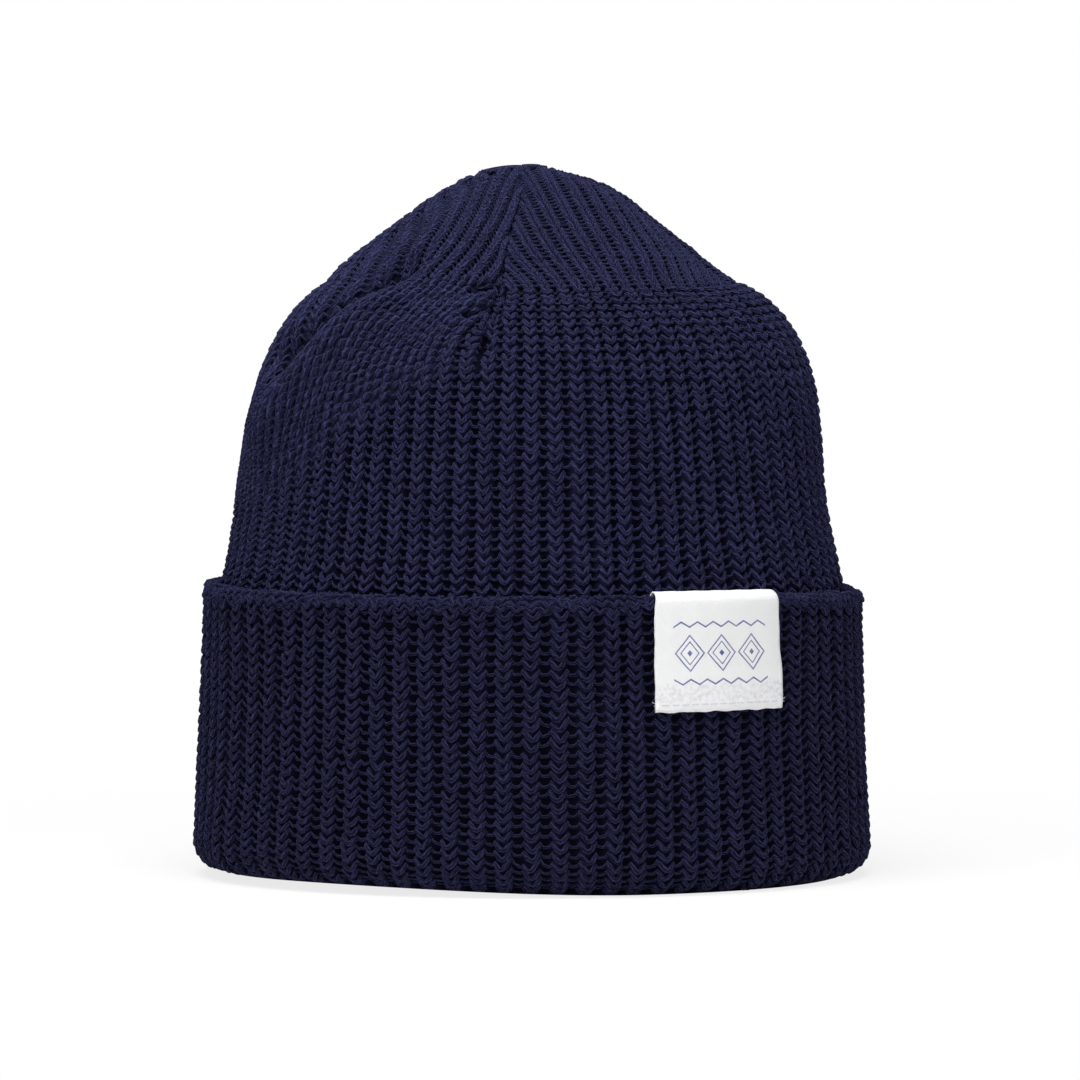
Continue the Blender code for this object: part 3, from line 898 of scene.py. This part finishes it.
def yarn_material(name, dark, light):
    """Soft yarn: plies that wind slowly round it, fibres along them and uneven dye. Narrow light lines
    along the plies are painted highlights, and the darker yarn between them is painted shade.
    """
    material, tree, shader = new_material(name)
    run, share = map_parts(tree, "yarn_run")
    fibres = noise(tree, 1300.0, 2.0)
    patches = noise(tree, 110.0, 2.0)
    turns = run * 150.0 + share * 5.0 + noise(tree, 520.0, 1.0) * 1.6
    ply_ridges_and_highlights = (wave(turns) * 0.5 + 0.5).maths("POWER", 2.5)
    # The plies also brighten the colour: painted highlights along them and painted shade between them
    colour = ramp(ply_ridges_and_highlights * 0.6 + patches * 0.3 + fibres * 0.8, 0.42, dark, 1.0, light)
    normal = bump(ply_ridges_and_highlights * 1.3 + fibres, 0.0004, 1.0)
    set_cloth(shader, colour, normal, 0.9, 0.08, 0.22, (0.18, 0.19, 0.50))
    return material


def back_material(name, dark, light):
    """The back of the knit."""
    material, tree, shader = new_material(name)
    fibres = noise(tree, 900.0, 3.0)
    colour = ramp(fibres, 0.3, dark, 0.7, light)
    set_cloth(shader, colour, bump(fibres, 0.0005, 0.8), 0.95, 0.1, 0.05, (0.30, 0.33, 0.75))
    return material


def painted_shade_material(name, dark, light):
    """Painted shade for the fabric seen between the yarns: a dark colour, lighter behind the ribs' crests
    than in the valleys.
    """
    material, tree, shader = new_material(name)
    tone = map_parts(tree, "rib_crest")[0] + noise(tree, 900.0, 3.0) * 0.4
    set_cloth(shader, ramp(tone, 0.35, dark, 1.0, light), None, 0.95, 0.05, 0.05, (0.30, 0.33, 0.75))
    return material


def line_mask(value, width):
    """One where a value lies within a width of nothing, with a soft edge, and nothing elsewhere."""
    return (abs(value) - width).maths("MULTIPLY", -12.0, clamp=True)


def label_design(across, along):
    """Three nested diamonds in a row between two zigzags, as thin lines; sizes in millimetres."""
    height = abs(along - 17.0)
    cell = (across + 5.0).maths("FLOORED_MODULO", 10.0) - 5.0
    spread = abs(cell) + height * 0.85
    zigzag = (across + 40.0).maths("PINGPONG", 2.5)
    lines = line_mask(height - 7.6 - zigzag * 0.6, 0.30)
    for distance, width in ((4.4, 0.30), (2.8, 0.24), (0.0, 0.85)):
        lines = lines.maths("MAXIMUM", line_mask(spread - distance, width))
    return lines * abs(across).maths("LESS_THAN", 15.0)


def label_material(name, white, shade, ink):
    """Woven white tape: fine slanting ribs of the weave, faint grey patches, and a printed line design."""
    material, tree, shader = new_material(name)
    across, along = map_parts(tree, "weave")
    weave = ((across + along) * (2 * math.pi / 0.55)).maths("SINE")
    threads = (across * (2 * math.pi / 0.4)).maths("SINE")
    patches = noise(tree, 420.0, 4.0)
    smudges = noise(tree, 900.0, 2.0) + weave * 0.05
    clean = ((abs(along - 5.5) - 2.0) * 0.12).maths("MAXIMUM", 0.0)
    worn = label_design(across, along) * (patches * 0.5 + 0.65)
    mix = add_node(tree, "ShaderNodeMix", data_type="RGBA", clamp_factor=True)
    tree.links.new(worn.socket, mix.inputs["Factor"])
    tree.links.new(ramp(smudges + clean, 0.30, shade, 0.58, white), mix.inputs["A"])
    mix.inputs["B"].default_value = (*ink, 1.0)
    normal = bump(weave + threads * 0.5 + patches, 0.00008, 0.6)
    set_cloth(shader, mix.outputs["Result"], normal, 0.85, 0.25, 0.1, (1.0, 1.0, 1.0))
    return material


def thread_material(name, dark, light):
    """Twisted sewing thread."""
    material, tree, shader = new_material(name)
    run, share = map_parts(tree, "yarn_run")
    plies = wave(run * 900.0 + share * 2.0)
    colour = ramp(plies * 0.4 + 0.5, 0.0, dark, 1.0, light)
    set_cloth(shader, colour, bump(plies, 0.0001, 0.5), 0.7, 0.3, 0.1, (1.0, 1.0, 1.0))
    return material


navy_yarn = yarn_material("navy_yarn", (0.0030, 0.0032, 0.012), (0.033, 0.035, 0.100))
# A darker copy of the navy yarn for the cuff: painted shade
navy_cuff_yarn_painted_shade = yarn_material("navy_cuff_yarn_painted_shade", (0.0022, 0.0024, 0.009), (0.0245, 0.0258, 0.074))
navy_seam = yarn_material("navy_seam_yarn", (0.003, 0.0032, 0.012), (0.024, 0.026, 0.074))
navy_back = back_material("navy_knit_back", (0.010, 0.011, 0.033), (0.021, 0.023, 0.064))
# Painted shade: the dark colour of the fabric between the yarns stands in for the shade in those gaps
navy_painted_shade = painted_shade_material("navy_knit_painted_shade", (0.0026, 0.0028, 0.009), (0.0135, 0.0145, 0.044))
white_cotton = label_material("white_tape", (0.93, 0.933, 0.94), (0.77, 0.76, 0.80), (0.07, 0.09, 0.32))
white_thread = thread_material("white_thread", (0.62, 0.63, 0.68), (0.80, 0.81, 0.84))


def rows_between(count, pieces):
    """First and last row of each piece when so many rows are shared out."""
    borders = np.linspace(0, count, pieces + 1).astype(int)
    return list(zip(borders[:-1], borders[1:]))


def inside_relief(ribs, levels, row):
    """Relief of the knit's back: ribs that swell and sink, with a ripple for each row."""
    rib = np.cos(2 * math.pi * ribs)
    return (0.55 * rib + 0.18 * np.cos(2 * math.pi * levels / row) * (1.2 - rib)) * MM


def rib_backs(ribs):
    """Depth of the fabric behind the yarns: less behind a rib's crest than in the valleys."""
    return SHELL_DEPTH - 0.0006 * (1.0 + np.cos(2 * math.pi * ribs))


shell_ribs = np.arange(RIBS * 4) / 4
shell_crests = 0.5 + 0.5 * np.cos(2 * math.pi * shell_ribs)


def add_shell(name, surface, levels, outer, inner, crest, body, nodes):
    """A wall between two depths, its outside painted dark as the shade between the yarns and its inside the
    back of the knit.

    A texture map holds how light that painted shade is at each point, mostly how near to a rib's crest it
    is, and its level.
    """
    outside = surface(shell_ribs, levels, outer)
    inside = surface(shell_ribs, levels, inner)
    points, quads, inner_first = shell_mesh(outside, inside, True)
    values = stacked(crest, levels / BODY_TOP).reshape(-1, 2)
    maps = (("rib_crest", np.concatenate([values, values])[quads]),)
    add_piece(name, points, quads, navy_painted_shade, body, nodes, maps, (navy_back, inner_first))


def gathered_level(even, close):
    """Level of a row that is even round the hat but closer to its neighbours left of the dart."""
    return lambda ribs: even + (close - even) * gathered(ribs)


# The body
body_rows = round((BODY_TOP - BODY_START) / BODY_ROW)
body_row = (BODY_TOP - BODY_START) / body_rows
body_levels = BODY_START + (np.arange(body_rows) + 0.5) * body_row
even_rows = int((BODY_TOP - GATHER) / body_row)
for part, (first, last) in zip(("low", "middle", "upper"), rows_between(even_rows, 3)):
    courses = round_courses(body_levels[first:last], body_row, on_body)
    add_yarns("body_courses_" + part, courses, True, navy_yarn, "hat", "body_panel")

top_levels = body_levels[even_rows:]
top_start = top_levels[0] - body_row / 2
close_rows = len(top_levels) + GATHER_ROWS
close_levels = top_start + (np.arange(close_rows) + 0.5) * (BODY_TOP - top_start) / close_rows
short = np.linspace(1, close_rows - 2, GATHER_ROWS).round().astype(int)
long = np.setdiff1d(np.arange(close_rows), short)
round_levels = [gathered_level(*pair) for pair in zip(top_levels, close_levels[long])]
dart_left = SEAM_SHIFT_RIBS - DART_GAP
dart_right = SEAM_SHIFT_RIBS + DART_GAP
courses = round_courses(round_levels, body_row, on_body, span=(dart_right, dart_left + RIBS))
add_yarns("body_courses_high", courses, False, navy_yarn, "hat", "body_panel")
courses = []
for level, reach in zip(close_levels[short], SHORT_REACH):
    span = (SEAM_SHIFT_RIBS - reach, dart_left)
    courses += round_courses([level], (1.0 - GATHER_CLOSE) * body_row, on_body, span=span)
add_yarns("body_courses_short", courses, False, navy_yarn, "hat", "body_panel")

levels = np.linspace(0.0, BODY_TOP, 2 * body_rows + 1)[:, None]
slack = slack_share(shell_ribs, levels)
outer = rib_backs(shell_ribs) + (SLACK_SHELL_DEPTH - rib_backs(shell_ribs)) * slack
outer = outer + (FOOT_SHELL_DEPTH - outer) * (1.0 - eased(levels / 0.006))
inner = BODY_WALL + CLEARANCE + inside_relief(shell_ribs, levels, body_row)
# Painted shade on the body's shell: lightest behind the crests and over the slack knit
crest = np.maximum(shell_crests, slack)
add_shell("body_inside", on_body, levels, outer, inner, crest, "hat", ["body_panel"])

# The gores
for number, name in enumerate(GORE_NAMES):
    first_seam = SEAM_SHIFT_RIBS + number * RIBS_PER_GORE
    stitch = CORD_STITCH if "left" in name else LADDER_STITCH
    courses = gore_courses(first_seam, GORE_LIE[number], stitch, CROWN_ROW)
    add_yarns("gore_courses_" + name, courses, False, navy_yarn, "hat", "crown_gore_" + name)

levels = np.linspace(BODY_TOP, PEAK - 0.0002, 60)[:, None]
inner = BODY_WALL + 0.5 * inside_relief(shell_ribs, levels, CROWN_ROW * 2) * eased((PEAK - levels) / 0.02)
stretched = slump(shell_ribs) / SLUMP * eased((PEAK - levels) / 0.03)
outer = CROWN_SHELL_DEPTH - 0.0008 * stretched
gore_nodes = ["crown_gore_" + name for name in GORE_NAMES]
# Painted shade on the crown's shell: dark, and lighter where the knit has slumped
add_shell("crown_inside", on_hat, levels, outer, inner, 0.2 + 0.3 * stretched, "hat", gore_nodes)

# The seams inside, and the drawn-up peak
tie_length = np.interp(-TIE_REACH, -HAT_LINE[:, 0], HAT_LENGTH)
seam_depth = BODY_WALL + CLEARANCE + CROWN_SEAM_BEAD / 2
lengths = np.linspace(BODY_TOP, tie_length, 60)
for number, name in enumerate(SEAM_NAMES):
    ribs = SEAM_SHIFT_RIBS + number * RIBS_PER_GORE + seam_twist(lengths)[0]
    yarns = linked_yarns(on_hat, ribs, lengths, seam_depth, CROWN_SEAM_BEAD)
    add_yarns("seam_yarns_" + name, yarns, False, navy_seam, "hat", "crown_seam_" + name)

lengths = np.linspace(0.004, BODY_TOP, 200)
yarns = linked_yarns(on_body, BACK_SEAM_RIBS, lengths, seam_depth, CROWN_SEAM_BEAD)
add_yarns("seam_yarns_body", yarns, False, navy_seam, "hat", "back_seam")

lengths = np.linspace(tie_length - 0.0006, PEAK - 0.0002, 10)
share = (PEAK - lengths) / (PEAK - tie_length)
depth = (0.6 + 0.5 * (1.0 - share)) * MM
thick = (0.35 + 0.5 * share) * MM
gathers = [yarn_rings(on_hat, ribs, lengths, depth, thick) for ribs in np.arange(GATHERS) * RIBS / GATHERS]
add_yarns("peak_gathers", gathers, False, navy_yarn, "hat", "crown_tie")

# The cuff
band_start = EDGE_START - EDGE_BAND
cuff_rows = round(band_start / BODY_ROW)
cuff_row = band_start / cuff_rows
# The cuff's courses use the darker copy of the yarn, which is painted shade
for part, (first, last) in zip(("low", "middle", "high"), rows_between(cuff_rows, 3)):
    courses = round_courses((np.arange(first, last) + 0.5) * cuff_row, cuff_row, on_cuff)
    add_yarns("cuff_courses_" + part, courses, True, navy_cuff_yarn_painted_shade, "cuff", "cuff_panel")

edge_rows = round((CUFF_END - band_start) / EDGE_ROW)
edge_levels = band_start + (np.arange(edge_rows) + 0.5) * EDGE_ROW
courses = round_courses(edge_levels, EDGE_ROW, on_cuff, EDGE_STITCH, 2, EDGE_LOOSE)
add_yarns("cuff_edge_courses", courses, True, navy_yarn, "cuff", "cuff_panel")

side_levels = np.linspace(0.0, band_start, 58)
levels = np.concatenate([side_levels, np.linspace(band_start, EDGE_END, 20)[1:]])[:, None]
near_edge = eased((levels - band_start) / EDGE_BAND)
outer = rib_backs(shell_ribs) + (EDGE_SHELL_DEPTHS[0] - rib_backs(shell_ribs)) * near_edge
inner = CUFF_WALL - 0.0002 - 0.4 * inside_relief(shell_ribs, levels, cuff_row)
inner = inner + (EDGE_SHELL_DEPTHS[1] - inner) * near_edge
# Painted shade on the cuff's shell: darker than the body's, and light near the edge
crest = np.maximum(0.6 * shell_crests, near_edge)
add_shell("cuff_inside", on_cuff, levels, outer, inner, crest, "cuff", ["cuff_panel"])

lengths = np.linspace(EDGE_END + 0.001, CUFF_LENGTH[-1] - 0.002, 120)
seam_depth = -(CLEARANCE + CUFF_SEAM_BEAD / 2)
yarns = linked_yarns(on_cuff, BACK_SEAM_RIBS, lengths, seam_depth, CUFF_SEAM_BEAD)
add_yarns("seam_yarns_cuff", yarns, False, navy_seam, "cuff", "cuff_seam")


# The label


def label_ribs(across):
    """Rib count at a distance across the label from its middle."""
    return (LABEL_PLACE + across) / (ROUND_PER_HALF_WIDTH * (HALF_WIDTH + CUFF_OUTSIDE)) * RIBS


label_low = EDGE_START - (LABEL_DROP - CUFF_WALL / 2)
label_back = EDGE_END + (LABEL_DROP - CUFF_WALL / 2)
across = np.linspace(-0.5, 0.5, 49) * LABEL_WIDTH
along = np.concatenate(
    [
        np.linspace(label_low, EDGE_START, 30)[:-1],
        np.linspace(EDGE_START, EDGE_END, 25)[:-1],
        np.linspace(EDGE_END, label_back, 30),
    ]
)[:, None]
from_fold = np.abs(along - (EDGE_START + EDGE_END) / 2) / MM
narrow = 1.0 - 0.03 * hill(from_fold, 0.0, 2.5)
left_edge = (0.8 + 0.08 * np.sin(from_fold / 1.9) + 0.05 * np.sin(from_fold / 0.7)) * MM
right_edge = (0.4 + 1.9 * hill(from_fold, 28.0, 12.0) + 0.1 * np.sin(from_fold / 1.7 + 1.0)) * MM
to_right = across / LABEL_WIDTH + 0.5
place = across * narrow + left_edge * (1.0 - to_right) + right_edge * to_right
ends = eased((from_fold - 24.0) / 9.0) * np.sign(along - EDGE_START)
wavy_along = along + 0.10 * ends * (np.sin(across * 700.0) + np.sin(across * 1130.0 + 1.0)) * MM
ripple = 0.05 * np.sin(2 * math.pi * label_ribs(across)) * MM
under = -CLEARANCE - ripple - 0.0001 * np.sin(along * 240.0)
place_ribs = label_ribs(place)
outside = on_cuff(place_ribs, wavy_along, under - LABEL_WALL)
points, quads, _ = shell_mesh(outside, on_cuff(place_ribs, wavy_along, under), False)
weave_at = stacked(across, along - label_low).reshape(-1, 2) / MM
maps = (("weave", np.concatenate([weave_at, weave_at])[quads]),)
label = add_piece("label_tape", points, quads, white_cotton, "cuff", ["label"], maps)


def label_stitches(length):
    """A row of stitches across the label: the thread lies on it and dips into it at each hole.

    Two loose tails stand out at each end.
    """
    reach = LABEL_WIDTH / 2 - STITCH_MARGIN
    places = np.linspace(-reach, reach, 12 * int(2 * reach / STITCH_LENGTH) + 1)
    dip = np.clip(np.cos(2 * math.pi * (places + reach) / STITCH_LENGTH) - 0.2, 0.0, 1.0)
    depth = -(CLEARANCE + LABEL_WALL + 0.3 * THREAD) + 0.9 * THREAD * dip
    threads = [yarn_rings(on_cuff, label_ribs(places + LABEL_SHIFT), length, depth, 0.4 * THREAD)]
    share = np.linspace(0.0, 1.0, 8)
    for side, tail, rise in THREAD_TAILS:
        ribs = label_ribs(side * (reach + share * tail * MM) + LABEL_SHIFT)
        lengths = length + rise * share**2 * MM
        deep = depth[0] - 0.3 * MM * share
        threads.append(yarn_rings(on_cuff, ribs, lengths, deep, 0.3 * THREAD * (1.0 - 0.5 * share)))
    return threads


for name, length in (("needle", label_low + STITCH_INSET), ("bobbin", label_back - STITCH_INSET)):
    threads = label_stitches(length)
    node = "label_" + name + "_thread"
    add_yarns("label_stitches_" + name, threads, False, white_thread, "cuff", node)


# The stage
FLOOR_REACH = 3.0
FLOOR_END = 2.8
WALL_ROUND = 0.6
WALL_TOP = 3.0
SHADOW_NEAR = 0.10  # distances from the hat's middle between which the floor fades to plain white
SHADOW_FAR = 0.40
FLOOR_GLOW = 0.80  # share of plain white that it has under the hat
SURROUNDINGS = 0.25
CAMERA_DISTANCE = 2.4
CAMERA_TILT = math.radians(3.0)
CAMERA_AIM = (0.0024, 0.0, 0.0993)
PICTURE_WIDTH = 0.321  # at the aim
SENSOR = 36.0


def make_stage():
    """White floor that rises into a backdrop: a straight run, a quarter round and a wall.

    Seen by the camera it fades to plain white away from the hat, and keeps the hat's shadow near it.
    """
    run = np.linspace(-FLOOR_REACH, FLOOR_END, 30)
    angle = np.linspace(0.0, math.pi / 2, 16)
    wall = np.linspace(WALL_ROUND + 0.1, WALL_TOP, 10)
    y = np.concatenate([run, FLOOR_END + WALL_ROUND * np.sin(angle), np.full(10, FLOOR_END + WALL_ROUND)])
    z = np.concatenate([np.zeros(30), WALL_ROUND - WALL_ROUND * np.cos(angle), wall])
    x = np.linspace(-FLOOR_REACH, FLOOR_REACH, 20)
    points = stacked(x, y[:, None], z[:, None])
    quads = grid_quads(*points.shape[:2], False)
    material, tree, shader = new_material("white_floor")
    set_inputs(shader, {"Base Color": (0.92, 0.92, 0.92, 1.0), "Roughness": 0.9, "Specular IOR Level": 0.0})
    place = add_node(tree, "ShaderNodeTexCoord")
    distance = add_node(tree, "ShaderNodeVectorMath", operation="LENGTH")
    tree.links.new(place.outputs["Object"], distance.inputs[0])
    away = add_node(tree, "ShaderNodeMapRange", interpolation_type="SMOOTHSTEP")
    tree.links.new(distance.outputs["Value"], away.inputs["Value"])
    set_inputs(away, {"From Min": SHADOW_NEAR, "From Max": SHADOW_FAR, "To Min": FLOOR_GLOW, "To Max": 1.0})
    path = add_node(tree, "ShaderNodeLightPath")
    rays = Field(tree, path.outputs["Is Camera Ray"])
    for kind in ("Is Glossy Ray", "Is Transmission Ray"):
        rays = rays.maths("MAXIMUM", Field(tree, path.outputs[kind]))
    seen = rays * Field(tree, away.outputs["Result"])
    glow = add_node(tree, "ShaderNodeEmission")
    mix = add_node(tree, "ShaderNodeMixShader")
    for socket, source in zip(mix.inputs, (seen.socket, shader.outputs[0], glow.outputs[0])):
        tree.links.new(source, socket)
    tree.links.new(mix.outputs[0], tree.nodes["Material Output"].inputs["Surface"])
    floor = add_object("studio_floor", smooth_mesh("studio_floor", points, quads, material))


def add_lamp(name, place, aim, size, power):
    """A square soft lamp at a place, turned to face a point."""
    lamp = bpy.data.lights.new(name, "AREA")
    lamp.size = size
    lamp.energy = power
    holder = add_object(name, lamp)
    holder.location = place
    way = np.array(aim) - np.array(place)
    flat = math.hypot(way[0], way[1])
    holder.rotation_euler = (math.atan2(flat, -way[2]), 0.0, math.atan2(way[1], way[0]) - math.pi / 2)


def make_light():
    """Even pale surroundings, a large soft lamp above and a weaker one at the front."""
    world = bpy.data.worlds.new("studio_light")
    world.use_nodes = True
    bpy.context.scene.world = world
    background = world.node_tree.nodes["Background"]
    set_inputs(background, {"Color": (1.0, 1.0, 1.0, 1.0), "Strength": SURROUNDINGS})
    add_lamp("top_lamp", (-0.08, -0.36, 1.00), (0.0, 0.0, 0.12), 0.7, 12.1)
    add_lamp("front_lamp", (-0.1, -1.8, 0.8), (0.0, 0.0, 0.10), 0.9, 4.0)


def make_camera():
    """A distant long lens at the front, a little above the hat's middle and looking down at it."""
    view = bpy.data.cameras.new("front_camera")
    view.sensor_width = SENSOR
    view.lens = SENSOR * CAMERA_DISTANCE / PICTURE_WIDTH
    view.clip_start = 0.1
    view.clip_end = 20.0
    holder = add_object("front_camera", view)
    back = np.array((0.0, -math.cos(CAMERA_TILT), math.sin(CAMERA_TILT)))
    holder.location = np.array(CAMERA_AIM) + CAMERA_DISTANCE * back
    holder.rotation_euler = (math.pi / 2 - CAMERA_TILT, 0.0, 0.0)
    bpy.context.scene.camera = holder


make_stage()
make_light()
make_camera()
bpy.context.scene.view_settings.view_transform = "Standard"
